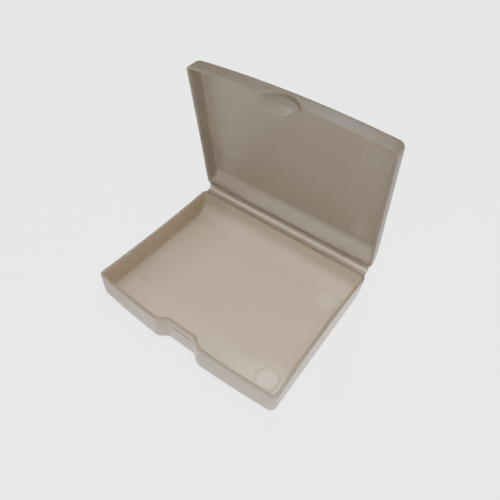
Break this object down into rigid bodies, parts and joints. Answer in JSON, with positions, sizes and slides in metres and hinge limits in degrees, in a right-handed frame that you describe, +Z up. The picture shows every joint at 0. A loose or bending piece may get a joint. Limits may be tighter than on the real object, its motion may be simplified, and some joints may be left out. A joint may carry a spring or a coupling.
{
  "type": "hinged box",
  "caption": "Shallow translucent plastic box: a tray and a lower lid joined by a folding web, shut by a snap tongue over a thumb recess.",
  "frame": {"origin": "centre of the tray's flat underside, as the open box stands", "axes": "+X to the right along the hinge, -Y to the front where the tongue latches, +Z up"},
  "size_m": [0.096, 0.0863, 0.0932],
  "materials": {
    "shell": "natural translucent polypropylene, moulded, satin",
    "web": "natural translucent polypropylene, thin and folded, satin"
  },
  "bodies": {
    "base": {"base_tray": "shell", "catch_bead": "shell", "base_hinge_leaf": "web", "hinge_film": "web"},
    "lid": {"lid_hinge_leaf": "web", "lid_shell": "shell"},
    "latch": {"latch_tongue": "shell", "latch_hook": "shell"}
  },
  "joints": [
    {"name": "lid_hinge", "type": "hinge", "parent": "base", "child": "lid", "pos_m": [0, 0.0405, 0.014], "axis": [-1, 0, 0], "range_deg": [-78.6, 101.4]},
    {"name": "tongue_flex", "type": "hinge", "parent": "lid", "child": "latch", "pos_m": [0, 0.02491, 0.09134], "axis": [-1, 0, 0], "range_deg": [0, 8], "stiffness_Nm_per_rad": 0.05}
  ]
}
